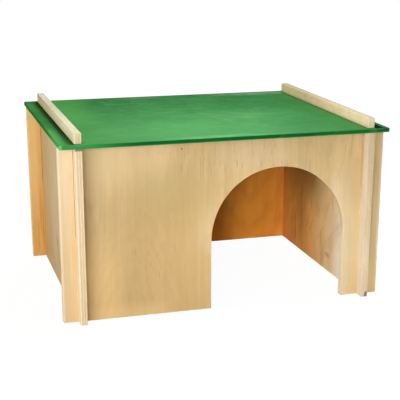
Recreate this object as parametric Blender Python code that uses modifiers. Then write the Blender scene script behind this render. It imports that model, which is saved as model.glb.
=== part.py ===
"""Flat-roof rabbit house: five plywood panels that slot together without fasteners.

The front and back panels run past the side panels and cross them in halved joints. Their slots
are open at the top and the side panels' slots are open at the bottom, so each side panel drops
onto both. A long tongue on each side panel's top edge passes through the roof and keeps it square.
There is no floor. Metres, +Z up, doorway facing -Y, origin on the ground under the middle.
"""
import math

import bmesh
import bpy

# Boards
WALL_PLY = 0.0095  # thickness of the four wall panels
ROOF_PLY = 0.0057  # thickness of the roof panel
EDGE_EASE = 0.0005  # rounding of every sawn edge
FIT_GAP = 0.0003  # clearance left between two pieces that meet

# House
HOUSE_WIDTH = 0.450  # front and back panels, end to end
WALL_SPAN = 0.312  # outer face of the front panel to outer face of the back panel
WALL_HEIGHT = 0.236  # ground to the top edge of the walls
EAR_REACH = 0.020  # front and back panels past the side panels' outer faces
NOSE_REACH = 0.0155  # side panels past the front and back panels' outer faces
ROOF_OVERHANG = 0.0035  # roof past the side panels' front and rear edges
LAP_SHARE = 0.5  # share of the wall height at which the halved slots meet

# Tongues through the roof
TONGUE_RISE = 0.0133  # above the roof's top face
TONGUE_SETBACK = 0.0035  # from each end of the side panel

# Doorway, an arch that is open to the ground
DOOR_OFFSET = 0.0745  # its middle, to the right of the house's middle
DOOR_WIDTH = 0.192
DOOR_HEIGHT = 0.1935
ARCH_STEPS = 48  # chords round the half circle

# Worked out from the values above
SIDE_X = HOUSE_WIDTH / 2 - EAR_REACH - WALL_PLY / 2  # middle of a side panel
CROSS_Y = WALL_SPAN / 2 - WALL_PLY / 2  # middle of the front or back panel
SIDE_DEPTH = WALL_SPAN + 2 * NOSE_REACH
SLOT_WIDTH = WALL_PLY + 2 * FIT_GAP
LAP_HEIGHT = WALL_HEIGHT * LAP_SHARE
ROOF_UNDERSIDE = WALL_HEIGHT + FIT_GAP
ROOF_DEPTH = SIDE_DEPTH + 2 * ROOF_OVERHANG
TONGUE_LENGTH = SIDE_DEPTH - 2 * TONGUE_SETBACK
TONGUE_TOP = ROOF_UNDERSIDE + ROOF_PLY + TONGUE_RISE

MERGE_DISTANCE = 0.00001
BEVEL_ANGLE = math.radians(30)
BEVEL_STEPS = 2

# Linear colours and roughness of the bare boards and the painted roof
FRONT_WOOD = ((0.74, 0.54, 0.33), 0.62)
BACK_WOOD = ((0.72, 0.50, 0.27), 0.62)
SIDE_WOOD = ((0.76, 0.58, 0.37), 0.62)
ROOF_PAINT = ((0.065, 0.33, 0.10), 0.45)


def clear_scene():
    """Remove every object that the file starts with."""
    for thing in list(bpy.data.objects):
        bpy.data.objects.remove(thing, do_unlink=True)


def new_collection(name):
    """Make a collection under the scene's own."""
    group = bpy.data.collections.new(name)
    bpy.context.scene.collection.children.link(group)
    return group


def board_material(name, finish):
    """Make a Principled material from a colour and a roughness."""
    colour, roughness = finish
    material = bpy.data.materials.new(name)
    material.use_nodes = True
    shader = material.node_tree.nodes["Principled BSDF"]
    shader.inputs["Base Color"].default_value = (*colour, 1.0)
    shader.inputs["Roughness"].default_value = roughness
    shader.inputs["Metallic"].default_value = 0.0
    material.diffuse_color = (*colour, 1.0)
    return material


def lift_empty(name, group, parent=None):
    """Make an empty that carries the pieces lifted together."""
    empty = bpy.data.objects.new(name, None)
    empty.empty_display_size = WALL_HEIGHT / 2
    group.objects.link(empty)
    empty.parent = parent
    return empty


def rectangle(width, depth, middle_x=0.0):
    """Corners of an upright rectangle about (middle_x, 0), counter-clockwise."""
    left = middle_x - width / 2
    right = middle_x + width / 2
    return [(left, -depth / 2), (right, -depth / 2), (right, depth / 2), (left, depth / 2)]


def slot_from_top(middle, top, floor):
    """Points of an open-topped slot, met while the outline runs from right to left."""
    right = middle + SLOT_WIDTH / 2
    left = middle - SLOT_WIDTH / 2
    return [(right, top), (right, floor), (left, floor), (left, top)]


def slot_from_bottom(middle, ceiling):
    """Points of a slot open at the ground, met while the outline runs from left to right."""
    left = middle - SLOT_WIDTH / 2
    right = middle + SLOT_WIDTH / 2
    return [(left, 0.0), (left, ceiling), (right, ceiling), (right, 0.0)]


def door_arch():
    """Points of the doorway, from its left foot over the half circle to its right foot."""
    radius = DOOR_WIDTH / 2
    spring = DOOR_HEIGHT - radius
    points = [(DOOR_OFFSET - radius, 0.0)]
    for step in range(ARCH_STEPS + 1):
        angle = math.pi - math.pi * step / ARCH_STEPS
        points.append((DOOR_OFFSET + radius * math.cos(angle), spring + radius * math.sin(angle)))
    points.append((DOOR_OFFSET + radius, 0.0))
    return points


def wall_outline(openings):
    """Outline of the front or back panel, with a slot for each side panel in its top edge."""
    half = HOUSE_WIDTH / 2
    floor = LAP_HEIGHT - FIT_GAP / 2
    bottom = [(-half, 0.0), *openings, (half, 0.0)]
    top = [
        (half, WALL_HEIGHT),
        *slot_from_top(SIDE_X, WALL_HEIGHT, floor),
        *slot_from_top(-SIDE_X, WALL_HEIGHT, floor),
        (-half, WALL_HEIGHT),
    ]
    return bottom + top


def side_outline():
    """Outline of a side panel, front to the left: slots below, tongue and shoulders above."""
    half = SIDE_DEPTH / 2
    tongue = TONGUE_LENGTH / 2
    ceiling = LAP_HEIGHT + FIT_GAP / 2
    bottom = [
        (-half, 0.0),
        *slot_from_bottom(-CROSS_Y, ceiling),
        *slot_from_bottom(CROSS_Y, ceiling),
        (half, 0.0),
    ]
    top = [
        (half, WALL_HEIGHT),
        (tongue, WALL_HEIGHT),
        (tongue, TONGUE_TOP),
        (-tongue, TONGUE_TOP),
        (-tongue, WALL_HEIGHT),
        (-half, WALL_HEIGHT),
    ]
    return bottom + top


def roof_holes():
    """The two long slots that the tongues pass through."""
    length = TONGUE_LENGTH + 2 * FIT_GAP
    return [rectangle(SLOT_WIDTH, length, -SIDE_X), rectangle(SLOT_WIDTH, length, SIDE_X)]


def flat_board(name, loops, thickness):
    """Extrude closed loops, the first the outline and the rest holes, into a welded mesh."""
    curve = bpy.data.curves.new(name, "CURVE")
    curve.dimensions = "2D"
    curve.fill_mode = "BOTH"
    curve.extrude = thickness / 2
    for loop in loops:
        spline = curve.splines.new("POLY")
        spline.points.add(len(loop) - 1)
        for point, (across, up) in zip(spline.points, loop):
            point.co = (across, up, 0.0, 1.0)
        spline.use_cyclic_u = True
    guide = bpy.data.objects.new(name + "_outline", curve)
    bpy.context.scene.collection.objects.link(guide)
    depsgraph = bpy.context.evaluated_depsgraph_get()
    mesh = bpy.data.meshes.new_from_object(guide.evaluated_get(depsgraph))
    bpy.data.objects.remove(guide, do_unlink=True)
    bpy.data.curves.remove(curve)
    mesh.name = name

    body = bmesh.new()
    body.from_mesh(mesh)
    bmesh.ops.remove_doubles(body, verts=body.verts, dist=MERGE_DISTANCE)
    bmesh.ops.dissolve_limit(
        body, angle_limit=math.radians(1), verts=body.verts, edges=body.edges
    )
    bmesh.ops.recalc_face_normals(body, faces=body.faces)
    body.to_mesh(mesh)
    body.free()
    return mesh


def add_panel(name, mesh, finish, group, parent, location, rotation):
    """Place a board in the house with its own material and eased edges."""
    panel = bpy.data.objects.new(name, mesh)
    group.objects.link(panel)
    panel.parent = parent
    panel.location = location
    panel.rotation_euler = rotation
    panel.data.materials.clear()
    panel.data.materials.append(board_material(name + "_finish", finish))
    ease = panel.modifiers.new("eased_edges", "BEVEL")
    ease.width = EDGE_EASE
    ease.segments = BEVEL_STEPS
    ease.limit_method = "ANGLE"
    ease.angle_limit = BEVEL_ANGLE
    ease.use_clamp_overlap = False
    return panel


def build_front_and_back(group, root):
    """The two panels that stay on the ground; only the front one has the doorway."""
    upright = (math.radians(90), 0.0, 0.0)
    front = flat_board("front_panel", [wall_outline(door_arch())], WALL_PLY)
    back = flat_board("back_panel", [wall_outline([])], WALL_PLY)
    add_panel("front_panel", front, FRONT_WOOD, group, root, (0.0, -CROSS_Y, 0.0), upright)
    add_panel("back_panel", back, BACK_WOOD, group, root, (0.0, CROSS_Y, 0.0), upright)


def build_sides(group, side_lift):
    """The two side panels, each dropped over the front and back panels."""
    upright = (math.radians(90), 0.0, math.radians(90))
    for name, middle in (("left_side_panel", -SIDE_X), ("right_side_panel", SIDE_X)):
        board = flat_board(name, [side_outline()], WALL_PLY)
        add_panel(name, board, SIDE_WOOD, group, side_lift, (middle, 0.0, 0.0), upright)


def build_roof(group, roof_lift):
    """The roof panel, resting on the walls with both tongues through it."""
    loops = [rectangle(HOUSE_WIDTH, ROOF_DEPTH), *roof_holes()]
    board = flat_board("roof_panel", loops, ROOF_PLY)
    middle = (0.0, 0.0, ROOF_UNDERSIDE + ROOF_PLY / 2)
    add_panel("roof_panel", board, ROOF_PAINT, group, roof_lift, middle, (0.0, 0.0, 0.0))


def build_house():
    """Build the five panels under the empties that lift them."""
    clear_scene()
    group = new_collection("rabbit_house")
    root = lift_empty("house_root", group)
    side_lift = lift_empty("side_lift", group, root)
    roof_lift = lift_empty("roof_lift", group, side_lift)
    build_front_and_back(group, root)
    build_sides(group, side_lift)
    build_roof(group, roof_lift)


build_house()
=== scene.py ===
import math

import bmesh
import bpy
from mathutils import Matrix, Vector, noise
from mathutils.geometry import delaunay_2d_cdt


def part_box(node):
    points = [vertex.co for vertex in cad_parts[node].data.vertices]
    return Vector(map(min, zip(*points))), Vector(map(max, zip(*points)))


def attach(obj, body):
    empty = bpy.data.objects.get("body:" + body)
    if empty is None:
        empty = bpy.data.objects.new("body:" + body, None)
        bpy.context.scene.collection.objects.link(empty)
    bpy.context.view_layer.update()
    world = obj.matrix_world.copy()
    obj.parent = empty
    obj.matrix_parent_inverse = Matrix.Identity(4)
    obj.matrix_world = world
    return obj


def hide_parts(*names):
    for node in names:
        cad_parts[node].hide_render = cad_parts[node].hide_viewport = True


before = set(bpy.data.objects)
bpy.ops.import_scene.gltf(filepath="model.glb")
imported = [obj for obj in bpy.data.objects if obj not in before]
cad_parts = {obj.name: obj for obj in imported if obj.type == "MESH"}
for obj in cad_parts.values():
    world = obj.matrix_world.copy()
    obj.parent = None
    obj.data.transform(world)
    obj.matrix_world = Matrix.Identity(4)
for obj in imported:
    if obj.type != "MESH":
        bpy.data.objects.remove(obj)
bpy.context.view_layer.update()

X, Y, Z = range(3)

# Joinery, in metres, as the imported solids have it
SIDE_X = 0.20025  # middle of a side panel
CROSS_Y = 0.15125  # middle of the front or back panel
SLOT_HALF = 0.00505  # half the width of a slot
SLOT_FLOOR = 0.11785  # floor of the front and back panels' slots
SLOT_CEILING = 0.11815  # ceiling of the side panels' slots
WALL_HEIGHT = 0.236
TONGUE_HALF = 0.168  # half the length of a side panel's tongue
ROOF_SLOT_HALF = 0.1683  # half the length of a roof slot
DOOR_X = 0.0745  # middle of the doorway
DOOR_RADIUS = 0.096
DOOR_SPRING = 0.0975  # height at which the arch begins
ARCH_STEPS = 72

# Places of marks in the wood and paint
FRONT_FACE = -0.156  # front panel's outer face, along y
ROOF_TOP = 0.242
KNOT = (SIDE_X - 0.00475, -0.0454, 0.0249)  # on the right panel's inner face

# Upright streaks: place, half width, lower and upper end, then their colour and strength
FRONT_LINES = (
    (-0.033, 0.0007, 0.168, 0.240, 0.4),
    (-0.058, 0.0009, 0.205, 0.235, 0.35),
    (-0.045, 0.0008, 0.196, 0.229, 0.35),
    (-0.072, 0.0008, 0.190, 0.216, 0.3),
    (0.034, 0.0008, 0.213, 0.233, 0.35),
    (0.062, 0.0007, 0.207, 0.228, 0.3),
    (0.148, 0.0009, 0.204, 0.230, 0.3),
    (0.012, 0.0007, 0.200, 0.222, 0.3),
    (-0.112, 0.0011, 0.03, 0.11, 0.2),
)
RIGHT_LINES = (
    (-0.0205, 0.0040, 0.024, 0.062, (228, 178, 56), 0.85),
    (-0.0300, 0.0026, 0.0, 0.045, (252, 200, 104), 0.5),
    (0.062, 0.0060, 0.03, 0.12, (150, 88, 38), 0.4),
    (0.022, 0.0030, 0.075, 0.10, (138, 88, 40), 0.25),
    (0.086, 0.0050, 0.00, 0.07, (150, 84, 36), 0.4),
    (-0.061, 0.0022, 0.095, 0.14, (168, 128, 66), 0.45),
    (-0.092, 0.0026, 0.06, 0.14, (206, 172, 126), 0.3),
    (0.001, 0.0030, 0.0, 0.04, (204, 140, 66), 0.35),
)
SWAY = 0.0022  # how far a streak wanders from side to side
SWAY_SCALE = 45  # how quickly it does so
SWAY_SHIFT = 900  # how much one streak's path differs from the next
STREAK_FADE = 0.3  # share of its length that fades at each end
STREAK_CORE = 0.25  # share of its width at full strength

# Outlines
CORNER_ROUND = 0.0009  # rounding of a wall board's corners, seen face on
ROOF_CORNER = 0.0022  # rounding of the roof's
CORNER_STEPS = 4
CORNER_TURN = math.radians(30)  # smallest turn that counts as a corner
STATION_STEP = 0.006  # spacing of the cross-sections round an edge
CORNER_STATION = 0.0007  # first cross-section beside a corner
SHORT_RUN = 1.6 * STATION_STEP  # runs up to this length get no cross-sections of their own

# Board edges
EASE = 0.0006  # rounding where an edge meets a face
SUPPORT = 0.0009  # flat rim that keeps the shading of a face flat
RIM = ((0.0, 1.0, 0.6), (0.12, 0.52, 1.0), (0.5, 0.13, 1.0), (1.0, 0.0, 0.5))
PLIES = (0.0021, 0.00155, 0.0022, 0.00155, 0.0021)  # five layers of a wall board
GLUE_HALF = 0.00013  # half the width of a glue line
GLUE_DEPTH = 0.00009
CROSS_RECESS = 0.00005  # how far the crossing plies stand back
ROOF_EASE = 0.0011  # rounding of the roof's painted edge
ROOF_STEPS = 4
ROOF_HOLLOW = 0.00006  # hollow that sanding leaves in its middle
FACE, LONG_PLY, CROSS_PLY, GLUE = range(4)  # places in a board's list of materials

# Unevenness that the saw leaves
ROUGH_CUT = 0.00005  # its depth
ROUGH_SCALE = 210  # how quickly it changes
ROUGH_SHIFT = 3.7  # how much it differs from one point of the section to the next
SMOOTH_POINTS = 4  # points at each end of the section that it leaves alone

# Faces
GRID_STEP = 0.011  # spacing of the points inside a face
GRID_CLEARANCE = 0.45 * GRID_STEP
FILLED = 2  # keep the triangles inside the outline and outside its holes
MERGE_DISTANCE = 1e-7


def linear(r, g, b):
    """Linear colour of a display colour whose channels run to 255."""
    values = []
    for channel in (r, g, b):
        c = channel / 255
        values.append(c / 12.92 if c <= 0.04045 else ((c + 0.055) / 1.055) ** 2.4)
    return (*values, 1.0)


def show(name, data):
    """Put an object with this data into the scene."""
    thing = bpy.data.objects.new(name, data)
    bpy.context.scene.collection.objects.link(thing)
    return thing


# ------------------------------------------ outlines


def front_outline(low, high, doorway):
    """Outline of the front or back panel, counter-clockwise, with its slots open at the top."""
    points = [(low.x, 0.0)]
    if doorway:
        points.append((DOOR_X - DOOR_RADIUS, 0.0))
        for step in range(ARCH_STEPS + 1):
            turn = math.pi * (1 - step / ARCH_STEPS)
            across, up = DOOR_RADIUS * math.cos(turn), DOOR_RADIUS * math.sin(turn)
            points.append((DOOR_X + across, DOOR_SPRING + up))
        points.append((DOOR_X + DOOR_RADIUS, 0.0))
    points += [(high.x, 0.0), (high.x, high.z)]
    for middle in (SIDE_X, -SIDE_X):
        right, left = middle + SLOT_HALF, middle - SLOT_HALF
        points += [(right, high.z), (right, SLOT_FLOOR), (left, SLOT_FLOOR), (left, high.z)]
    points.append((low.x, high.z))
    return points


def side_outline(low, high):
    """Outline of a side panel, counter-clockwise: slots open at the ground, a tongue on top."""
    points = [(low.y, 0.0)]
    for middle in (-CROSS_Y, CROSS_Y):
        left, right = middle - SLOT_HALF, middle + SLOT_HALF
        points += [(left, 0.0), (left, SLOT_CEILING), (right, SLOT_CEILING), (right, 0.0)]
    points += [(high.y, 0.0), (high.y, WALL_HEIGHT)]
    points += [(TONGUE_HALF, WALL_HEIGHT), (TONGUE_HALF, high.z)]
    points += [(-TONGUE_HALF, high.z), (-TONGUE_HALF, WALL_HEIGHT), (low.y, WALL_HEIGHT)]
    return points


def roof_loops(low, high):
    """Outline of the roof, then its two slots, which run clockwise."""
    loops = [[(low.x, low.y), (high.x, low.y), (high.x, high.y), (low.x, high.y)]]
    near, far = -ROOF_SLOT_HALF, ROOF_SLOT_HALF
    for middle in (-SIDE_X, SIDE_X):
        left, right = middle - SLOT_HALF, middle + SLOT_HALF
        loops.append([(left, near), (left, far), (right, far), (right, near)])
    return loops


def turn_at(before, here, after):
    """Signed turn of the outline at a point, positive to the left."""
    a, b = here - before, after - here
    return math.atan2(a.x * b.y - a.y * b.x, a.dot(b))


def rounded(loop, radius):
    """The outline with its outward corners rounded."""
    points = [Vector(p) for p in loop]
    result = []
    for i, here in enumerate(points):
        before, after = points[i - 1], points[(i + 1) % len(points)]
        turn = turn_at(before, here, after)
        if turn < CORNER_TURN:
            result.append(here)
            continue
        back, ahead = (before - here).normalized(), (after - here).normalized()
        reach = radius * math.tan(turn / 2)
        centre = here + (back + ahead).normalized() * (radius / math.cos(turn / 2))
        first = here + back * reach - centre
        for step in range(CORNER_STEPS + 1):
            angle = turn * step / CORNER_STEPS
            cosine, sine = math.cos(angle), math.sin(angle)
            across = first.x * cosine - first.y * sine
            up = first.x * sine + first.y * cosine
            result.append(centre + Vector((across, up)))
    return result


def stationed(points):
    """The outline with cross-sections added along its straight runs, closer beside its corners."""
    result = []
    for i, here in enumerate(points):
        result.append(here)
        run = points[(i + 1) % len(points)] - here
        length = run.length
        if length <= SHORT_RUN:
            continue
        inner = length - 2 * CORNER_STATION
        count = round(inner / STATION_STEP)
        marks = [CORNER_STATION + inner * k / count for k in range(count)]
        marks.append(length - CORNER_STATION)
        result += [here + run * (mark / length) for mark in marks]
    return result


def inward(points):
    """For each point, the mitred direction into the board per unit of inset."""
    directions = []
    for i, here in enumerate(points):
        a = (here - points[i - 1]).normalized()
        b = (points[(i + 1) % len(points)] - here).normalized()
        first, second = Vector((-a.y, a.x)), Vector((-b.y, b.x))
        directions.append((first + second) / (1 + first.dot(second)))
    return directions


# ------------------------------------------ board meshes

# A section is a list of points: (across the thickness, inset, material of the strip after the
# point, wear). RIM gives those of a rounded rim: across and inset as shares of EASE, then wear.


def ply_section(thickness):
    """Section of a five-ply edge, with a groove at each glue line."""
    section = [(0.0, EASE + SUPPORT, FACE, 0.0)]
    for across, inset, wear in RIM:
        strip = FACE if across < 0.5 else LONG_PLY
        section.append((across * EASE, inset * EASE, strip, wear))
    reach = 0.0
    for layer, ply in enumerate(PLIES[:-1]):
        reach += ply
        here, after, strip = 0.0, CROSS_RECESS, CROSS_PLY
        if layer % 2:
            here, after, strip = CROSS_RECESS, 0.0, LONG_PLY
        section.append((reach - GLUE_HALF, here, GLUE, 0.0))
        section.append((reach, GLUE_DEPTH, GLUE, 0.0))
        section.append((reach + GLUE_HALF, after, strip, 0.0))
    for across, inset, wear in reversed(RIM):
        strip = FACE if across <= 0.5 else LONG_PLY
        section.append((thickness - across * EASE, inset * EASE, strip, wear))
    section.append((thickness, EASE + SUPPORT, FACE, 0.0))
    return section


def painted_section(thickness):
    """Section of a painted edge, rounder than a bare one and slightly hollow."""
    rim = ROOF_EASE + SUPPORT
    quarter = []
    for step in range(ROOF_STEPS + 1):
        angle = math.pi / 2 * step / ROOF_STEPS
        quarter.append((ROOF_EASE * (1 - math.cos(angle)), ROOF_EASE * (1 - math.sin(angle))))
    section = [(0.0, rim, FACE, 0.0)]
    section += [(across, inset, FACE, 1.0) for across, inset in quarter]
    section.append((thickness / 2, ROOF_HOLLOW, FACE, 0.2))
    section += [(thickness - across, inset, FACE, 1.0) for across, inset in reversed(quarter)]
    section.append((thickness, rim, FACE, 0.0))
    return section


def inside(point, loops):
    """Whether a point lies in the board, by counting crossings of every outline."""
    crossings = 0
    x, y = point
    for loop in loops:
        for i, a in enumerate(loop):
            b = loop[i - 1]
            if (a.y > y) != (b.y > y) and x < a.x + (y - a.y) * (b.x - a.x) / (b.y - a.y):
                crossings += 1
    return crossings % 2 == 1


def face_points(loops):
    """Grid points inside a face, staggered row by row and clear of its rim."""
    xs, ys = [p.x for p in loops[0]], [p.y for p in loops[0]]
    rim = [p for loop in loops for p in loop]
    points = []
    for row in range(1, int((max(ys) - min(ys)) / GRID_STEP) + 1):
        for column in range(1, int((max(xs) - min(xs)) / GRID_STEP) + 1):
            x = min(xs) + (column + 0.5 * (row % 2)) * GRID_STEP
            here = Vector((x, min(ys) + row * GRID_STEP))
            if inside(here, loops) and all((here - p).length > GRID_CLEARANCE for p in rim):
                points.append(here)
    return points


def sweep_edge(bm, loop, section, place, seed):
    """Sweep the section round one outline; return the column of vertices at each of its points."""
    wear = bm.verts.layers.float["wear"]
    columns = []
    for here, direction in zip(loop, inward(loop)):
        column = []
        for j, (across, inset, _, worn) in enumerate(section):
            jitter = 0.0
            if SMOOTH_POINTS <= j < len(section) - SMOOTH_POINTS:
                where = place(here.x, here.y, across) * ROUGH_SCALE
                where += Vector((seed, j * ROUGH_SHIFT, 0))
                jitter = ROUGH_CUT * (1 + noise.noise(where)) / 2
            flat = here + direction * (inset + jitter)
            vertex = bm.verts.new(place(flat.x, flat.y, across))
            vertex[wear] = worn
            column.append(vertex)
        columns.append(column)
    for i, column in enumerate(columns):
        after = columns[(i + 1) % len(columns)]
        for j in range(len(section) - 1):
            face = bm.faces.new((column[j], after[j], after[j + 1], column[j + 1]))
            face.material_index = section[j][2]
    return columns


def fill_faces(bm, loops, section, place, rims):
    """Triangulate the flat faces inside the two rims, each a list of the edge's outer vertices."""
    rim_inset = section[0][1]
    flat_loops = [[p + d * rim_inset for p, d in zip(loop, inward(loop))] for loop in loops]
    points = [p for loop in flat_loops for p in loop]
    edges = []
    for loop in flat_loops:
        start = len(edges)
        edges += [(start + k, start + (k + 1) % len(loop)) for k in range(len(loop))]
    filled = delaunay_2d_cdt(points + face_points(flat_loops), edges, [], FILLED, MERGE_DISTANCE)
    verts, _, triangles, sources, _, _ = filled
    for rim, across in zip(rims, (section[0][0], section[-1][0])):
        made = []
        for point, source in zip(verts, sources):
            first = min(source) if source else len(rim)
            if first < len(rim):
                made.append(rim[first])
            else:
                made.append(bm.verts.new(place(point.x, point.y, across)))
        for triangle in triangles:
            corners = [made[k] for k in triangle]
            if len(set(corners)) == 3:
                bm.faces.new(corners)


def build_board(name, loops, section, place, materials, seed):
    """Make a board from its outline, the holes in it and the section of its edge.

    place turns (along, up, across the thickness) into a point of the house.
    """
    bm = bmesh.new()
    bm.verts.layers.float.new("wear")
    columns = []
    for loop in loops:
        columns += sweep_edge(bm, loop, section, place, seed)
    rims = [[column[end] for column in columns] for end in (0, -1)]
    fill_faces(bm, loops, section, place, rims)
    bmesh.ops.recalc_face_normals(bm, faces=bm.faces)
    for face in bm.faces:
        face.smooth = True
    mesh = bpy.data.meshes.new(name)
    bm.to_mesh(mesh)
    bm.free()
    for material in materials:
        mesh.materials.append(material)
    return show(name, mesh)


# ------------------------------------------ materials


class Nodes:
    """Short ways to add and wire the nodes of a tree."""

    def __init__(self, tree):
        self.tree = tree

    def node(self, kind, **settings):
        """Add a node and set its properties."""
        made = self.tree.nodes.new(kind)
        for key, value in settings.items():
            setattr(made, key, value)
        return made

    def put(self, socket, value):
        """Link an output into a socket, or write a plain value on it."""
        if isinstance(value, bpy.types.NodeSocket):
            self.tree.links.new(value, socket)
        else:
            socket.default_value = value

    def math(self, operation, a, b=0.0, c=0.0):
        """Result of one operation on up to three values."""
        made = self.node("ShaderNodeMath", operation=operation)
        for socket, value in zip(made.inputs, (a, b, c)):
            self.put(socket, value)
        return made.outputs[0]

    def times(self, *values):
        """Product of one or more values."""
        result = values[0]
        for value in values[1:]:
            result = self.math("MULTIPLY", result, value)
        return result

    def off(self, value, middle):
        """Distance of a value from another."""
        return self.math("ABSOLUTE", self.math("SUBTRACT", value, middle))

    def seen_directly(self):
        """1 for what the camera, a reflection or glass sees, 0 for light that only bounces."""
        path = self.node("ShaderNodeLightPath").outputs
        seen = self.math("MAXIMUM", path["Is Camera Ray"], path["Is Glossy Ray"])
        return self.math("MAXIMUM", seen, path["Is Transmission Ray"])


class Finish(Nodes):
    """A Principled material whose colour follows the place in the house."""

    def __init__(self, name, roughness, specular):
        self.material = bpy.data.materials.new(name)
        self.material.use_nodes = True
        super().__init__(self.material.node_tree)
        self.shader = self.tree.nodes["Principled BSDF"]
        self.sockets = self.shader.inputs
        self.sockets["Roughness"].default_value = roughness
        self.sockets["Specular IOR Level"].default_value = specular
        coordinates = self.node("ShaderNodeTexCoord")
        self.place = coordinates.outputs["Object"]
        self.parts = self.axes(self.place)
        self.normal = self.axes(coordinates.outputs["Normal"])

    def axes(self, vector):
        """The three parts of a vector."""
        made = self.node("ShaderNodeSeparateXYZ")
        self.put(made.inputs[0], vector)
        return made.outputs

    def noise(
        self, scale, shift, detail=2.0, roughness=0.5, distortion=0.0, turn=0.0, axis="Z_AXIS"
    ):
        """Noise in the place turned about one axis, then scaled along each axis and shifted."""
        turned = self.node("ShaderNodeVectorRotate", rotation_type=axis)
        self.put(turned.inputs["Vector"], self.place)
        turned.inputs["Angle"].default_value = turn
        mapped = self.node("ShaderNodeMapping")
        self.put(mapped.inputs["Vector"], turned.outputs[0])
        mapped.inputs["Scale"].default_value = scale
        mapped.inputs["Location"].default_value = shift
        made = self.node("ShaderNodeTexNoise")
        self.put(made.inputs["Vector"], mapped.outputs[0])
        made.inputs["Scale"].default_value = 1.0
        made.inputs["Detail"].default_value = detail
        made.inputs["Roughness"].default_value = roughness
        made.inputs["Distortion"].default_value = distortion
        return made.outputs["Fac"]

    def span(self, value, low, high, start=0.0, end=1.0):
        """Ease from start to end as a value goes from low to high."""
        made = self.node("ShaderNodeMapRange", interpolation_type="SMOOTHSTEP")
        for socket, given in zip(made.inputs, (value, low, high, start, end)):
            self.put(socket, given)
        return made.outputs[0]

    def x(self, *limits):
        """span() of the place along x."""
        return self.span(self.parts[X], *limits)

    def y(self, *limits):
        """span() of the place along y."""
        return self.span(self.parts[Y], *limits)

    def z(self, *limits):
        """span() of the height."""
        return self.span(self.parts[Z], *limits)

    def mix(self, factor, a, b, blend="MIX"):
        """Blend colour b into colour a."""
        made = self.node("ShaderNodeMix", data_type="RGBA", blend_type=blend)
        for socket, value in zip((made.inputs[0], made.inputs[6], made.inputs[7]), (factor, a, b)):
            self.put(socket, value)
        return made.outputs[2]

    def toward(self, colour, goal, *weights):
        """Move a colour towards another by the product of the weights.

        Each colour is an output, or a display colour whose channels run to 255.
        """
        ends = [linear(*end) if isinstance(end, tuple) else end for end in (colour, goal)]
        return self.mix(self.times(*weights), *ends)

    def layers(self, colour, *rows):
        """Move a colour towards one goal after another; each row is a goal and its weights."""
        for goal, *weights in rows:
            colour = self.toward(colour, goal, *weights)
        return colour

    def spot(self, centre, radii, core=0.35):
        """1 in the core of an ellipsoid, easing to 0 at its surface."""
        result = self.place
        for operation, given in (("SUBTRACT", centre), ("DIVIDE", radii)):
            made = self.node("ShaderNodeVectorMath", operation=operation)
            self.put(made.inputs[0], result)
            made.inputs[1].default_value = given
            result = made.outputs[0]
        length = self.node("ShaderNodeVectorMath", operation="LENGTH")
        self.put(length.inputs[0], result)
        return self.span(length.outputs["Value"], 1.0, core)

    def streak(self, axis, at, half_width, low, high, lean=0.0):
        """1 along a thin upright line between two heights, easing to 0 at its sides and ends."""
        sway = self.noise((0, 0, SWAY_SCALE), (at * SWAY_SHIFT, 0, 0))
        middle = self.math("MULTIPLY_ADD", sway, SWAY, at - SWAY / 2)
        rise = self.math("SUBTRACT", self.parts[Z], low)
        middle = self.math("MULTIPLY_ADD", rise, lean, middle)
        off = self.off(self.parts[axis], middle)
        reach = STREAK_FADE * (high - low)
        ends = self.times(self.z(low, low + reach), self.z(high, high - reach))
        return self.times(self.span(off, half_width, STREAK_CORE * half_width), ends)

    def bump(self, height, distance, strength):
        """Shade the surface as if raised by height times distance."""
        made = self.node("ShaderNodeBump")
        made.inputs["Strength"].default_value = strength
        made.inputs["Distance"].default_value = distance
        self.put(made.inputs["Height"], height)
        self.put(self.sockets["Normal"], made.outputs[0])

    def worn(self):
        """The wear that the mesh carries along its rounded edges."""
        return self.node("ShaderNodeAttribute", attribute_name="wear").outputs["Fac"]


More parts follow.
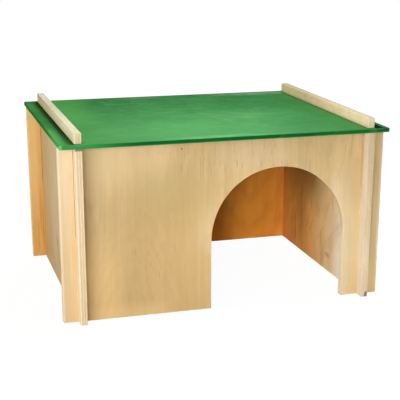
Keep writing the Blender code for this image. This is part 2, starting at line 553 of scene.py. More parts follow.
def veneer(name, light, middle, dark, streak, seed, tint):
    """Sanded veneer with upright grain: bands, flame figure, fibres, fine streaks and worn rims."""
    wood = Finish(name, 0.62, 0.12)
    shift = (seed, seed * 1.7, seed * 0.3)
    band = wood.noise((26, 26, 2.1), shift, 2.0, 0.55)
    drift = wood.noise((7, 7, 5), shift, 1.0)
    flame = wood.noise((15, 15, 1.9), shift, 1.5, 0.4, 0.35)
    rings = wood.math("SINE", wood.times(flame, 78))
    fibre = wood.noise((620, 620, 11), shift, 3.0, 0.65)
    pores = wood.noise((340, 340, 17), shift)
    ticks = wood.noise((430, 430, 60), (seed + 2, 5, 1), 2.0, 0.6)
    narrow = wood.noise((105, 105, 3), (seed + 7, 2, 3))
    clusters = wood.noise((20, 20, 6), (seed + 4, 1, 2), 2.0, 0.6)
    blotch = wood.noise((120, 120, 42), (seed + 1, 4, 6), 3.0, 0.6, 0.4)
    lines = wood.times(wood.span(pores, 0.60, 0.74), wood.span(clusters, 0.45, 0.68))
    tone = wood.math("ADD", wood.times(band, 0.7), wood.times(drift, 0.3))
    colour = wood.layers(
        wood.toward(dark, light, wood.span(tone, 0.34, 0.66)),
        (middle, 0.45),
        (dark, wood.span(narrow, 0.36, 0.72, 0.0, 0.26)),
        (light, wood.span(narrow, 0.54, 0.22, 0.0, 0.26)),
        (dark, wood.span(rings, 0.35, 1.0, 0.0, 0.26)),
        (dark, wood.span(blotch, 0.5, 0.72, 0.0, 0.42)),
        (light, wood.span(blotch, 0.46, 0.26, 0.0, 0.42)),
        (dark, wood.span(fibre, 0.35, 0.7, 0.0, 0.18)),
        (light, wood.span(fibre, 0.66, 0.3, 0.0, 0.12)),
        (streak, lines, 0.34),
        (streak, wood.span(ticks, 0.6, 0.76, 0.0, 0.24)),
    )
    colour = tint(wood, colour)
    scuff = wood.noise((90, 90, 90), shift, 3.0, 0.6)
    rim = wood.times(wood.worn(), wood.span(scuff, 0.35, 0.62, 0.15, 0.6))
    wood.put(wood.sockets["Base Color"], wood.toward(colour, (244, 222, 182), rim))
    rough = wood.math("ADD", wood.span(fibre, 0.3, 0.7, 0.56, 0.66), wood.times(rim, -0.08))
    wood.put(wood.sockets["Roughness"], rough)
    wood.bump(wood.math("SUBTRACT", wood.times(fibre, 0.6), lines), 0.00012, 0.6)
    return wood.material


def ply_edge(name, grain_axis, long_colour, end_colour, speck, seed):
    """Sawn edge of a ply: pale where the cut runs with its grain, darker and pitted across it."""
    wood = Finish(name, 0.72, 0.1)
    facing = wood.normal[grain_axis]
    across = wood.times(facing, facing)
    along = [60 if axis == grain_axis else 700 for axis in range(3)]
    fibre = wood.noise(along, (seed, 0, 0), 2.0, 0.6)
    pits = wood.noise((900, 900, 900), (seed, 3, 1), 2.0, 0.55)
    patch = wood.noise((40, 40, 40), (seed, 8, 5))
    dots = wood.times(wood.span(pits, 0.55, 0.75, 0.0, 0.45), wood.span(across, 0.0, 0.8, 0.3, 1.0))
    colour = wood.layers(
        wood.toward(long_colour, end_colour, wood.span(across, 0.05, 0.9)),
        (speck, wood.span(fibre, 0.4, 0.75, 0.0, 0.3)),
        (speck, dots),
        (end_colour, wood.span(patch, 0.35, 0.7, 0.0, 0.22)),
        # right tongue's end, above the walls
        ((240, 222, 182), wood.z(0.238, 0.244), wood.x(0.1, 0.15), 0.7),
    )
    jamb = wood.times(wood.y(-0.1455, -0.1465), wood.x(0.06, 0.12), wood.x(0.173, 0.1715))
    nose = wood.toward((224, 206, 178), (208, 190, 154), wood.z(0.05, 0.11))
    colour = wood.layers(
        colour,
        # painted light on the doorway's right side
        ((255, 238, 210), jamb, 0.75),  # doorway, right side
        ((222, 186, 132), jamb, wood.z(0.08, 0.115), 0.6),
        (nose, wood.x(0.19, 0.195), wood.y(-0.155, -0.157), 0.7),  # right nose
        # outermost ply of the left nose
        ((255, 244, 208), wood.x(-0.2026, -0.2031), wood.x(-0.2056, -0.2050), wood.y(-0.155, -0.16),
         0.7),
    )
    rail_end = wood.times(wood.z(0.242, 0.2424), wood.x(0.1, 0.15), wood.y(-0.16, -0.167))
    colour = wood.layers(
        colour,
        ((255, 242, 200), rail_end, 0.85),
        ((150, 126, 84), rail_end, wood.x(0.2038, 0.2047), 0.7),
        # shadow line under the roof's corner
        ((72, 84, 42), wood.z(0.2322, 0.2340), wood.z(0.2366, 0.2360), wood.y(-0.155, -0.16),
         wood.x(-0.19, -0.195), 0.8),
    )
    # top faces of the tongues; the right one painted darker as shade
    crest = wood.times(wood.span(wood.normal[Z], 0.6, 0.8), wood.z(0.2535, 0.2545))
    left_crest = wood.toward((226, 226, 190), (206, 216, 178), wood.y(-0.12, 0.06))
    left_crest = wood.toward(left_crest, (238, 236, 206), wood.y(0.04, 0.12))
    right_crest = wood.toward((222, 206, 170), (188, 181, 150), wood.y(-0.16, 0.15))
    right_crest = wood.toward(right_crest, (160, 148, 118), wood.x(0.2010, 0.2040), 0.7)
    colour = wood.layers(
        colour,
        (wood.toward(left_crest, right_crest, wood.x(-0.1, 0.1)), crest, 0.85),
        # chip at the foot of the right nose
        ((134, 96, 52), wood.spot((0.2030, -0.1715, 0.0035), (0.0036, 0.0030, 0.0052), 0.7), 0.8),
    )
    wood.put(wood.sockets["Base Color"], colour)
    wood.put(wood.sockets["Roughness"], wood.span(pits, 0.3, 0.7, 0.66, 0.8))
    wood.bump(wood.math("SUBTRACT", 1.0, wood.math("ADD", dots, fibre)), 0.0001, 0.6)
    return wood.material


def glue_line(name, colour, dark, seed):
    """Thin line of hardened glue between two plies, broken up along its length."""
    glue = Finish(name, 0.55, 0.15)
    flecks = glue.noise((260, 260, 260), (seed, 0, 0), 3.0, 0.6)
    glue.put(glue.sockets["Base Color"], glue.toward(dark, colour, glue.span(flecks, 0.35, 0.65)))
    glue.put(glue.sockets["Roughness"], glue.span(flecks, 0.3, 0.7, 0.45, 0.65))
    glue.bump(flecks, 0.00005, 0.5)
    return glue.material


def roof_paint(name):
    """Green paint brushed along the roof, with the veneer's grain faintly raised under it."""
    paint = Finish(name, 0.6, 0.0)
    brush = paint.noise((13, 170, 170), (3, 1, 0), 3.0, 0.6, 0.3, turn=0.05)
    cloud = paint.noise((12, 9, 20), (5, 2, 0), 4.0, 0.6, 0.7, turn=0.2)
    grain = paint.noise((14, 620, 620), (1, 7, 0), 3.0, 0.6)
    smear = paint.noise((34, 46, 70), (9, 4, 0), 3.0, 0.6, 1.0, turn=0.5)
    colour = paint.layers(
        paint.toward((42, 118, 54), (52, 132, 64), paint.span(cloud, 0.32, 0.68)),
        ((56, 142, 52), paint.x(-0.10, -0.19), 0.5),  # yellower towards the left
        ((82, 160, 88), paint.span(smear, 0.56, 0.72, 0.0, 0.3)),
        ((36, 104, 50), paint.span(smear, 0.42, 0.28, 0.0, 0.2)),
        ((36, 106, 50), paint.span(brush, 0.35, 0.7, 0.0, 0.1)),
    )
    strokes = paint.noise((170, 22, 70), (1, 6, 4), 2.0, 0.5, 0.5, turn=-0.32)
    patches = paint.noise((24, 11, 20), (7, 3, 2))
    sparse = paint.times(paint.span(patches, 0.46, 0.6), paint.x(-0.08, 0.06, 0.4, 1.0))
    colour = paint.layers(
        colour,
        ((98, 176, 98), paint.span(strokes, 0.58, 0.72, 0.0, 0.3), sparse),
        ((30, 98, 46), paint.span(strokes, 0.42, 0.30, 0.0, 0.22), sparse),
        ((30, 94, 44), paint.span(grain, 0.5, 0.75, 0.0, 0.16)),
    )
    mottle = paint.noise((32, 70, 60), (2, 9, 7), 3.0, 0.65, 0.5, turn=0.06)
    uneven = paint.y(-0.10, 0.12, 0.22, 0.42)
    colour = paint.layers(
        colour,
        ((34, 100, 48), paint.span(mottle, 0.5, 0.68), uneven),
        ((72, 152, 82), paint.span(mottle, 0.48, 0.30), uneven),
        # painted light, brighter towards the front
        ((92, 160, 96), paint.y(0.17, -0.17), 0.34),  # paler towards the front
    )
    # distance past the outer side of a tongue's slot, then marks that follow it
    beyond = paint.math("SUBTRACT", paint.math("ABSOLUTE", paint.parts[X]), SIDE_X + SLOT_HALF)
    colour = paint.layers(
        colour,
        # left part, inside the tongue
        ((88, 172, 84), paint.x(-0.12, -0.18), paint.y(-0.08, 0.04),
         paint.span(beyond, 0.0, -0.004), 0.55),
        # right part, inside the tongue
        ((54, 126, 40), paint.x(0.13, 0.17), paint.span(beyond, 0.0, -0.004), 0.4),
        # painted sheen in the middle
        ((108, 180, 112), paint.spot((0.06, -0.03, ROOF_TOP), (0.11, 0.07, 0.02), 0.0),
         paint.span(mottle, 0.62, 0.38, 0.3, 1.0), 0.32),
        # painted sheen along the front
        ((128, 198, 132), paint.spot((-0.01, -0.172, ROOF_TOP), (0.10, 0.018, 0.02), 0.2),
         paint.span(mottle, 0.62, 0.38, 0.4, 1.0), 0.35),
        # rubbed places along the rear
        ((136, 150, 104), paint.spot((-0.045, 0.160, ROOF_TOP), (0.048, 0.014, 0.02), 0.2),
         paint.span(mottle, 0.4, 0.6), 0.5),
        ((150, 176, 142), paint.spot((0.135, 0.158, ROOF_TOP), (0.10, 0.022, 0.02), 0.3),
         paint.span(mottle, 0.62, 0.40, 0.4, 1.0), 0.5),
        # painted shade on the front right corner
        ((28, 124, 58), paint.spot((0.125, -0.115, ROOF_TOP), (0.055, 0.075, 0.02), 0.2), 0.35),
    )
    frayed = paint.noise((60, 45, 60), (4, 8, 1), 3.0, 0.6)
    reach = paint.math("MULTIPLY_ADD", frayed, 0.006, 0.0035)
    colour = paint.layers(
        colour,
        # painted shadow beside the tongues, cast on the roof by them
        ((40, 60, 18), paint.span(paint.math("SUBTRACT", beyond, reach), 0.0055, -0.0030),
         paint.span(beyond, -0.002, 0.0),
         paint.span(paint.off(paint.parts[Y], 0.02), 0.20, 0.10, 0.35, 1.0), 0.8),
        # outside the left tongue
        ((76, 176, 80), paint.span(beyond, 0.0100, 0.0175), paint.x(-0.1, -0.15),
         paint.y(0.0, -0.09), 0.6),
        # left margin
        ((8, 112, 38), paint.x(-0.2125, -0.2165), paint.y(-0.085, -0.045), paint.y(0.11, 0.06),
         0.6),
    )
    # painted shadow on the right margin beside the right tongue, and a painted haze of reflected
    # light on all the rest
    right_shadow_strip = paint.times(paint.x(0.203, 0.206), paint.x(0.2225, 0.215))
    colour = paint.toward(colour, (8, 44, 14), right_shadow_strip, 0.85)
    haze = paint.math("SUBTRACT", 1.0, right_shadow_strip)
    pale = paint.mix(paint.y(-0.06, 0.10), (0.022, 0.024, 0.022, 1.0), (0.025, 0.042, 0.028, 1.0))
    colour = paint.mix(haze, colour, pale, "ADD")
    scuffs = paint.noise((26, 60, 40), (12, 5, 3), 4.0, 0.6, 0.5, turn=-0.15)
    specks = paint.noise((260, 420, 300), (2, 8, 4), turn=0.5)
    colour = paint.layers(
        colour,
        # painted highlight on the front rim on the right
        ((96, 156, 104), paint.worn(), paint.x(0.204, 0.208), paint.x(0.220, 0.213),
         paint.y(-0.1730, -0.1742), paint.z(0.2405, 0.2415), 0.8),
        ((118, 142, 84), paint.span(scuffs, 0.62, 0.76, 0.0, 0.45)),
        ((120, 176, 112), paint.span(specks, 0.68, 0.78, 0.0, 0.45)),
        ((30, 90, 44), paint.span(specks, 0.30, 0.22, 0.0, 0.4)),
    )
    # the roof's own edge, from left to right along the front
    left_green = paint.toward((42, 106, 44), (92, 160, 88), paint.y(-0.06, -0.15))
    nose_shadow_noise = paint.noise((420, 0, 200), (3, 0, 6), 2.0, 0.6)
    lip = paint.layers(
        paint.toward((48, 152, 74), (34, 126, 60), paint.x(-0.188, -0.158)),
        ((14, 96, 40), paint.x(-0.165, -0.12)),
        ((20, 112, 42), paint.x(0.10, 0.15)),
        ((18, 124, 50), paint.x(0.190, 0.200), 0.8),
        ((10, 100, 44), paint.x(0.203, 0.210)),
        # left edge
        (left_green, paint.span(paint.normal[X], -0.5, -0.8), paint.y(-0.172, -0.168), 0.8),
        # painted highlight on the front left corner
        ((132, 206, 134), paint.x(-0.2195, -0.2235), paint.y(-0.165, -0.172), 0.65),
        # painted shadow on the roof's lower edge above the left nose
        ((14, 44, 20), paint.z(0.2384, 0.2368), paint.span(nose_shadow_noise, 0.45, 0.55),
         paint.span(paint.off(paint.parts[X], -0.2), 0.010, 0.006), 0.85),
    )
    colour = paint.layers(
        colour,
        (lip, paint.span(paint.normal[Z], 0.75, 0.2)),
        ((126, 122, 92), paint.worn(), paint.y(0.172, 0.1742), 0.5),  # worn rear rim
        ((70, 160, 96), paint.worn(), paint.z(0.2378, 0.2370), 0.35),  # painted highlight on the lower rim
        ((110, 168, 104), paint.worn(), paint.span(smear, 0.56, 0.7, 0.0, 0.18)),  # worn rims
    )
    paint.put(paint.sockets["Base Color"], colour)
    paint.put(paint.sockets["Roughness"], paint.span(brush, 0.3, 0.7, 0.48, 0.6))
    height = paint.math("ADD", paint.times(grain, 0.5), paint.times(brush, 0.8))
    paint.bump(height, 0.00012, 0.6)
    return paint.material


def front_tint(wood, colour):
    """Ends past the side panels: the left painted pale as light, the right dark as shade; darker
    wood between, short pores.
    """
    x, _, z = wood.parts
    colour = wood.layers(
        colour,
        # lower left
        ((190, 157, 102), wood.x(0.06, -0.05), wood.x(-0.175, -0.13), wood.z(0.20, 0.11), 0.5),
        # warmer beside the left nose
        ((238, 200, 136), wood.x(-0.135, -0.165), wood.x(-0.199, -0.19), wood.z(0.16, 0.05), 0.6),
    )
    bow = wood.math("MULTIPLY_ADD", wood.math("POWER", wood.off(x, -0.128), 1.6), 9.0, z)
    sway = wood.noise((24, 24, 9), (2, 5, 7), 3.0, 0.55)
    arches = wood.math("SINE", wood.times(wood.math("MULTIPLY_ADD", sway, 0.12, bow), 190))
    colour = wood.layers(
        colour,
        # arched growth lines
        ((178, 136, 80), wood.span(arches, -0.2, 1.0), wood.x(-0.055, -0.085),
         wood.x(-0.185, -0.165), wood.z(0.17, 0.13), 0.06),
        ((244, 214, 164), wood.x(-0.04, -0.17), wood.z(0.13, 0.225), 0.55),  # upper left
        ((232, 208, 170), wood.x(0.160, 0.178), wood.z(0.16, 0.06), 0.25),  # right of the doorway
        # right of the doorway, upper part
        ((232, 212, 182), wood.x(0.146, 0.156), wood.x(0.184, 0.172), wood.z(0.20, 0.15), 0.45),
        # left of the doorway
        ((236, 222, 190), wood.x(-0.050, -0.030), wood.z(0.175, 0.12), wood.z(0.07, 0.10),
         wood.x(0.0, -0.015), 0.16),
        # near the right nose
        ((204, 188, 150), wood.x(0.160, 0.174), wood.x(0.2, 0.197), wood.z(0.20, 0.17),
         wood.z(0.0, 0.05, 0.4, 1.0), 0.45),
        ((226, 186, 122), wood.x(0.183, 0.190), wood.x(0.2, 0.196), 0.2),  # beside the right nose
    )
    # the left end, painted pale as the light falling on it
    pale = wood.x(-0.199, -0.205)
    ear = wood.toward((226, 200, 155), (238, 215, 178), wood.z(0.08, 0.19))
    bands = wood.noise((330, 60, 7), (5, 1, 3))
    colour = wood.layers(
        colour,
        (ear, pale, 0.85),
        ((236, 200, 146), pale, wood.span(bands, 0.5, 0.68, 0.0, 0.3)),
        ((248, 228, 190), pale, wood.span(bands, 0.48, 0.3, 0.0, 0.3)),
        # lower part of the left ear
        ((242, 196, 138), wood.x(-0.2135, -0.2100), wood.x(-0.2052, -0.2075), wood.z(0.15, 0.10),
         0.28),
        # upper part of the left ear
        ((214, 168, 108), wood.x(-0.2165, -0.2120), wood.x(-0.2045, -0.2060), wood.z(0.07, 0.12),
         wood.z(0.19, 0.215, 0.18, 0.04)),
        ((248, 232, 204), wood.x(-0.2215, -0.2240), 0.5),  # left end
        # painted shadow beside the left nose
        ((190, 148, 82), wood.x(-0.1812, -0.1865), wood.x(-0.1925, -0.1888),
         wood.z(0.19, 0.21, 1.0, 0.6), 0.12),
        # near the ground
        ((250, 216, 150), wood.z(0.024, 0.004), wood.x(-0.06, -0.11), wood.x(-0.2, -0.197), 0.3),
        # darker left of the doorway's crown
        ((180, 157, 100), wood.spot((-0.078, FRONT_FACE, 0.162), (0.085, 0.02, 0.062), 0.2), 0.52),
        # above the doorway
        ((216, 193, 156), wood.spot((0.035, FRONT_FACE, 0.210), (0.085, 0.02, 0.030), 0.2), 0.4),
        # darker beside the right nose
        ((196, 158, 102), wood.spot((0.182, FRONT_FACE, 0.165), (0.035, 0.02, 0.055), 0.2), 0.3),
        # dark line at the joint with the right panel: painted shade of the narrow gap
        ((186, 136, 76), wood.x(0.1920, 0.1942), wood.x(0.2, 0.196), wood.z(0.12, 0.19), 0.4),
    )
    # right end, painted darker as shade from the right nose
    shaded_right_end = wood.x(0.203, 0.207)
    colour = wood.layers(
        colour,
        ((198, 176, 126), shaded_right_end, 0.6),
        # painted light on its top, against the shade under the roof
        ((244, 214, 160), shaded_right_end, wood.z(0.175, 0.22), 0.75),
        ((222, 192, 138), wood.x(0.2125, 0.2170), wood.z(0.0, 0.12), 0.6),
        ((236, 216, 184), wood.x(0.2205, 0.2235), 0.6),
        # painted shadow beside the joint
        ((150, 128, 74), wood.x(0.2045, 0.2052), wood.x(0.2100, 0.2078), wood.z(0.03, 0.10), 0.6),
        ((232, 206, 146), shaded_right_end, wood.z(0.07, 0.02), 0.6),
    )
    for at, half_width, low, high, depth in FRONT_LINES:
        line = wood.streak(X, at, half_width, low, high)
        colour = wood.toward(colour, (156, 118, 72), line, 0.7 * depth)
    nicks = wood.noise((520, 520, 48), (7, 3, 2))
    above_door = wood.times(wood.z(0.180, 0.205), wood.x(-0.09, -0.04), wood.x(0.13, 0.06))
    lower_left = wood.spot((-0.105, FRONT_FACE, 0.075), (0.05, 0.02, 0.06), 0.2)
    where = wood.math("MAXIMUM", above_door, lower_left)
    return wood.layers(
        colour,
        ((142, 108, 62), wood.span(nicks, 0.60, 0.72, 0.0, 0.4), where),
        # pin hole
        ((96, 62, 32), wood.spot((-0.0625, FRONT_FACE, 0.2255), (0.0014, 0.004, 0.0021)), 0.75),
    )


def back_tint(wood, colour):
    """Orange heartwood, deeper on the inner face and with growth rings there, and brown streaks."""
    x, _, z = wood.parts
    colour = wood.layers(
        colour,
        # lower part
        ((206, 132, 52), wood.x(-0.216, -0.207), wood.x(0.11, 0.05), wood.z(0.16, 0.06), 0.3),
        ((240, 206, 146), wood.x(-0.207, -0.216), wood.z(0.03, 0.15), 0.55),  # left ear
    )
    inner = wood.times(wood.span(wood.math("ABSOLUTE", x), 0.199, 0.195), wood.y(0.1475, 0.1468))
    flow = wood.noise((38, 38, 6), (8, 3, 6), 3.0, 0.55, 0.5)
    bow = wood.math("MULTIPLY_ADD", wood.math("POWER", wood.off(x, 0.138), 1.5), -5.0, z)
    rings = wood.math("SINE", wood.times(wood.math("MULTIPLY_ADD", flow, 0.09, bow), 120))
    amber = wood.layers(
        wood.toward((198, 119, 36), (217, 141, 50), wood.span(flow, 0.3, 0.7)),
        # growth rings
        ((164, 84, 24), wood.span(rings, -0.1, 1.0), wood.x(0.06, 0.10), wood.z(0.14, 0.09), 0.2),
        # painted light near the ground, against the shade from the front
        ((250, 156, 48), wood.z(0.035, 0.004, 0.0, 0.35)),
        ((255, 150, 40), wood.z(0.06, 0.02), wood.x(0.13, 0.06), 0.45),  # near the ground
    )
    colour = wood.toward(colour, amber, inner, 0.93)
    for at, low, high in ((-0.2105, 0.03, 0.12), (-0.2150, 0.00, 0.07), (-0.2075, 0.0, 0.09)):
        line = wood.streak(X, at, 0.0016, low, high)
        colour = wood.toward(colour, (186, 104, 34), line, 0.4)
    return colour


def cream_tongue(wood, colour):
    """Paler, slightly mottled veneer where a side board stands above the roof."""
    mottle = wood.noise((30, 45, 70), (6, 2, 9), 3.0, 0.6, 0.5)
    cream = wood.toward((228, 204, 158), (244, 214, 174), wood.span(mottle, 0.35, 0.65))
    rear = wood.toward((206, 188, 134), (255, 240, 184), wood.x(-0.1, 0.1))
    bright = wood.toward((255, 248, 212), (255, 241, 214), wood.span(mottle, 0.4, 0.6))
    grain = wood.noise((160, 90, 160), (2, 2, 5), 3.0, 0.6)
    cream = wood.layers(
        cream,
        (rear, wood.y(0.04, 0.15), 0.5),
        # painted light on the front of the left tongue
        (bright, wood.y(0.08, -0.08), wood.x(0.0, -0.1), 0.8),  # front of the left tongue
        ((238, 240, 176), wood.x(-0.1, -0.15), wood.z(0.2535, 0.2450), 0.45),  # its foot
        # far rim of the right tongue
        ((146, 132, 102), wood.z(0.2536, 0.2549), wood.x(0.2035, 0.2046), 0.75),
        ((196, 168, 120), wood.span(grain, 0.55, 0.72, 0.0, 0.3)),
        ((176, 156, 104), wood.z(0.2462, 0.2424), wood.x(0.1, 0.15), 0.45),  # its foot
    )
    return wood.toward(colour, cream, wood.z(0.234, 0.238), 0.9)


def left_tint(wood, colour):
    """Greyer veneer outside, warmer towards the rear and the ground, with one dark streak."""
    line = wood.streak(Y, -0.016, 0.0050, 0.006, 0.082, 0.52)
    broken = wood.span(wood.noise((200, 60, 40), (3, 8, 8)), 0.4, 0.6, 0.35, 0.75)
    colour = wood.layers(
        colour,
        ((206, 158, 94), wood.y(0.04, 0.13), 0.4),
        ((214, 192, 152), wood.y(0.08, -0.04), 0.35),
        ((200, 158, 110), wood.z(0.07, 0.01), 0.3),
        ((138, 100, 58), line, broken),
        ((206, 160, 84), wood.y(0.0, 0.1), wood.z(0.13, 0.05), 0.3),
        ((245, 222, 186), wood.y(-0.154, -0.158), 0.9),  # nose
    )
    return cream_tongue(wood, colour)


def right_tint(wood, colour):
    """Inner face cream near the front, orange and brown towards the rear, partly painted light and
    shade, streaked and knotted.
    """
    inner = wood.x(0.199, 0.197)
    flow = wood.noise((28, 28, 12), (4, 9, 2), 4.0, 0.6, 0.8)
    near = wood.toward((240, 172, 84), (252, 198, 112), wood.span(flow, 0.3, 0.7))
    far = wood.toward((202, 128, 50), (219, 154, 68), wood.span(flow, 0.3, 0.7))
    amber = wood.toward(near, far, wood.y(0.015, 0.065))
    leaf = wood.noise((60, 52, 17), (6, 2, 8), 2.0, 0.5, 0.4, turn=-0.62, axis="X_AXIS")
    colour = wood.layers(
        colour,
        # painted light near the front, where light comes in at the doorway
        ((255, 238, 210), wood.y(-0.05, -0.09), inner, 0.8),
        (amber, wood.y(-0.085, 0.035), inner, 0.93),
        ((176, 116, 56), wood.span(leaf, 0.5, 0.72, 0.0, 0.32), inner),
        ((252, 222, 166), wood.span(leaf, 0.48, 0.26, 0.0, 0.12), inner),
        ((224, 132, 46), wood.y(0.10, 0.145), wood.z(0.17, 0.11), inner, 0.6),  # rear, lower part
        ((246, 164, 72), wood.z(0.06, 0.012), wood.y(0.0, 0.04), inner, 0.38),  # near the ground
        # upper part, painted darker as shade inside the house
        ((138, 92, 44), wood.z(0.07, 0.135), wood.y(-0.065, 0.025), wood.y(0.13, 0.09, 0.5, 1.0),
         inner, 0.7),
        # front of the orange part
        ((255, 216, 146), wood.y(0.02, -0.03), wood.y(-0.085, -0.06), wood.z(0.02, 0.05), inner,
         0.4),
        # front, near the ground
        ((255, 240, 214), wood.y(-0.06, -0.085), wood.z(0.085, 0.05), wood.z(0.0, 0.04), inner,
         0.35),
        ((224, 207, 176), wood.y(-0.152, -0.158), inner, 0.85),  # nose
        # dark line at the joint with the front panel: painted shade of the narrow gap
        ((170, 122, 68), wood.y(-0.1592, -0.1576), wood.y(-0.15, -0.156), wood.z(0.12, 0.19), 0.45),
    )
    for at, half_width, low, high, shade, depth in RIGHT_LINES:
        line = wood.streak(Y, at, half_width, low, high, 0.05)
        colour = wood.toward(colour, shade, line, inner, depth)
    colour = wood.layers(
        colour,
        ((206, 150, 76), wood.spot(KNOT, (0.004, 0.0140, 0.0060), 0.3), 0.5),
        ((184, 132, 60), wood.spot(KNOT, (0.004, 0.0070, 0.0030), 0.2), 0.4),
    )
    return cream_tongue(wood, colour)


# ------------------------------------------ boards

upright_ply = ply_edge("ply_upright", Z, (245, 225, 184), (229, 207, 164), (207, 174, 128), 2.0)
front_crossing = ply_edge(
    "ply_crossing", X, (248, 228, 192), (240, 210, 172), (220, 186, 144), 6.0
)
side_crossing = ply_edge(
    "ply_crossing_side", Y, (242, 230, 192), (238, 207, 166), (222, 185, 140), 9.0
)
glue = glue_line("glue_line", (220, 190, 146), (192, 158, 114), 4.0)

# Light, middle and dark wood of each veneer, then its streaks
FRONT_SHADES = ((224, 197, 148), (208, 179, 127), (192, 161, 110), (158, 118, 74))
BACK_SHADES = ((238, 196, 126), (228, 184, 110), (214, 162, 86), (176, 102, 40))
LEFT_SHADES = ((224, 198, 150), (212, 182, 132), (198, 166, 116), (150, 112, 70))
RIGHT_SHADES = ((248, 224, 182), (242, 212, 164), (228, 194, 142), (150, 112, 70))
front_face = veneer("veneer_front", *FRONT_SHADES, 3.0, front_tint)
back_face = veneer("veneer_back", *BACK_SHADES, 11.0, back_tint)
left_face = veneer("veneer_left", *LEFT_SHADES, 19.0, left_tint)
right_face = veneer("veneer_right", *RIGHT_SHADES, 23.0, right_tint)
paint_green = roof_paint("roof_green")


def wall_board(name, node, doorway, face, seed):
    """The front or back board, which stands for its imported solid."""
    low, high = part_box(node)
    outline = stationed(rounded(front_outline(low, high, doorway), CORNER_ROUND))
    section = ply_section(high.y - low.y)
    layers = [face, upright_ply, front_crossing, glue]
    board = build_board(
        name, [outline], section, lambda u, v, w: Vector((u, low.y + w, v)), layers, seed
    )
    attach(board, "front_and_back")
    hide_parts(node)
    return board


def side_board(name, node, body, face, seed):
    """A side board with its slots and tongue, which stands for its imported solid."""
    low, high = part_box(node)
    outline = stationed(rounded(side_outline(low, high), CORNER_ROUND))
    section = ply_section(high.x - low.x)
    layers = [face, upright_ply, side_crossing, glue]
    board = build_board(
        name, [outline], section, lambda u, v, w: Vector((low.x + w, u, v)), layers, seed
    )
    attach(board, body)
    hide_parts(node)


front_board = wall_board("front_board", "front_panel", True, front_face, 1.0)
back_board = wall_board("back_board", "back_panel", False, back_face, 2.0)
side_board("left_side_board", "left_side_panel", "left_side", left_face, 3.0)
side_board("right_side_board", "right_side_panel", "right_side", right_face, 4.0)

roof_low, roof_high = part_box("roof_panel")
roof_board = build_board(
    "roof_board",
    [stationed(rounded(loop, ROOF_CORNER)) for loop in roof_loops(roof_low, roof_high)],
    painted_section(roof_high.z - roof_low.z),
    lambda u, v, w: Vector((u, v, roof_low.z + w)),
    [paint_green],
    5.0,
)
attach(roof_board, "roof")
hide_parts("roof_panel")

# ------------------------------------------ floor, lights and camera

FLOOR_HALF = 4.0
FLOOR_GREY = 0.86
FLOOR_GLOW = 0.92  # share of plain white in what the camera sees of the floor
FLOOR_GLOW_LIMITS = (1.09, 1.05)  # its strength far from the house and under it
FLOOR_GLOW_REACH = (1.8, 1.8, 1.8)
AMBIENT = 0.2  # light of the studio on the pieces, where the camera sees 1

# Camera, as fitted to the edges of the boards
CAMERA_PLACE = (-0.41030, -1.44047, 0.50498)
CAMERA_TURNS = (16.7531, 17.4105, 0.2351)  # yaw to the right, pitch down and roll, in degrees
CAMERA_LENS = 93.63
CAMERA_SENSOR = 36.0
CAMERA_SHIFT = (-0.025, 0.125)

# Lamps: name, place, the point they face, width and height, power, spread in degrees
LAMPS = (
    ("top_box", (-0.02, -0.14, 0.50), (-0.02, -0.12, 0.24), (0.14, 0.12), 0.72, 180),
    ("front_left_box", (-0.9, -1.7, 0.55), (0, 0, 0.12), (1.0, 0.7), 13.6, 180),
    ("low_left_box", (-1.45, -1.0, 0.27), (0.1, 0, 0.14), (0.5, 0.3), 8.7, 180),
    ("doorway_box", (-0.49, -1.47, 0.30), (0.132, -0.02, 0.06), (0.35, 0.25), 0.130, 12),
    ("back_box", (0.5, 1.2, 1.4), (0, 0, 0.12), (0.8, 0.8), 18.0, 180),
)

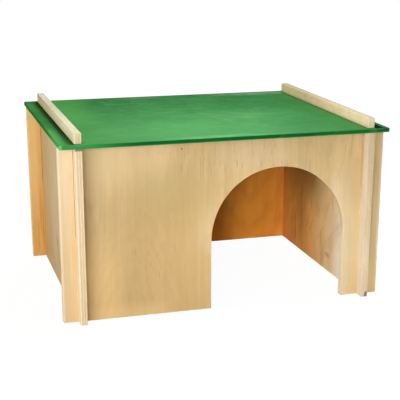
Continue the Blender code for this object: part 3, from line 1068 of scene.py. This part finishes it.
ground = Finish("pale_floor", 0.9, 0.0)
ground.sockets["Base Color"].default_value = (FLOOR_GREY, FLOOR_GREY, FLOOR_GREY, 1.0)
glow = ground.node("ShaderNodeEmission")
near = ground.spot((0, 0, 0), FLOOR_GLOW_REACH, 0.4)
ground.put(glow.inputs["Strength"], ground.span(near, 0.0, 1.0, *FLOOR_GLOW_LIMITS))
mixer = ground.node("ShaderNodeMixShader")
ground.put(mixer.inputs[0], ground.times(ground.seen_directly(), FLOOR_GLOW))
ground.put(mixer.inputs[1], ground.shader.outputs[0])
ground.put(mixer.inputs[2], glow.outputs[0])
ground.put(ground.tree.nodes["Material Output"].inputs[0], mixer.outputs[0])

floor_mesh = bpy.data.meshes.new("floor")
corners = [(x * FLOOR_HALF, y * FLOOR_HALF, 0) for x, y in ((-1, -1), (1, -1), (1, 1), (-1, 1))]
floor_mesh.from_pydata(corners, [], [(0, 1, 2, 3)])
floor_mesh.materials.append(ground.material)
floor = show("floor", floor_mesh)

world = bpy.data.worlds.new("studio")
bpy.context.scene.world = world
world.use_nodes = True
sky = Nodes(world.node_tree)
background = sky.tree.nodes["Background"].inputs
strength = sky.node("ShaderNodeMapRange")
strength.inputs["To Min"].default_value = AMBIENT
sky.put(strength.inputs["Value"], sky.seen_directly())
sky.put(background["Strength"], strength.outputs[0])
background["Color"].default_value = (1, 1, 1, 1)

for name, place, target, size, power, spread in LAMPS:
    lamp = bpy.data.lights.new(name, "AREA")
    lamp.shape = "RECTANGLE"
    lamp.size, lamp.size_y = size
    lamp.energy = power
    lamp.spread = math.radians(spread)
    holder = show(name, lamp)
    holder.location = place
    aim = Vector(target) - Vector(place)
    holder.rotation_euler = aim.to_track_quat("-Z", "Y").to_euler()

camera_data = bpy.data.cameras.new("view")
camera_data.lens = CAMERA_LENS
camera_data.sensor_width = CAMERA_SENSOR
camera_data.shift_x, camera_data.shift_y = CAMERA_SHIFT
camera = show("view", camera_data)
yaw, pitch, roll = map(math.radians, CAMERA_TURNS)
ahead = (math.sin(yaw) * math.cos(pitch), math.cos(yaw) * math.cos(pitch), -math.sin(pitch))
aim = Vector(ahead)
right = Vector((math.cos(yaw), -math.sin(yaw), 0.0))
up = right.cross(aim)
rolled_right = right * math.cos(roll) + up * math.sin(roll)
rolled_up = up * math.cos(roll) - right * math.sin(roll)
turn = Matrix((rolled_right, rolled_up, -aim)).transposed().to_4x4()
camera.matrix_world = Matrix.Translation(CAMERA_PLACE) @ turn
bpy.context.scene.camera = camera
bpy.context.scene.view_settings.view_transform = "Standard"
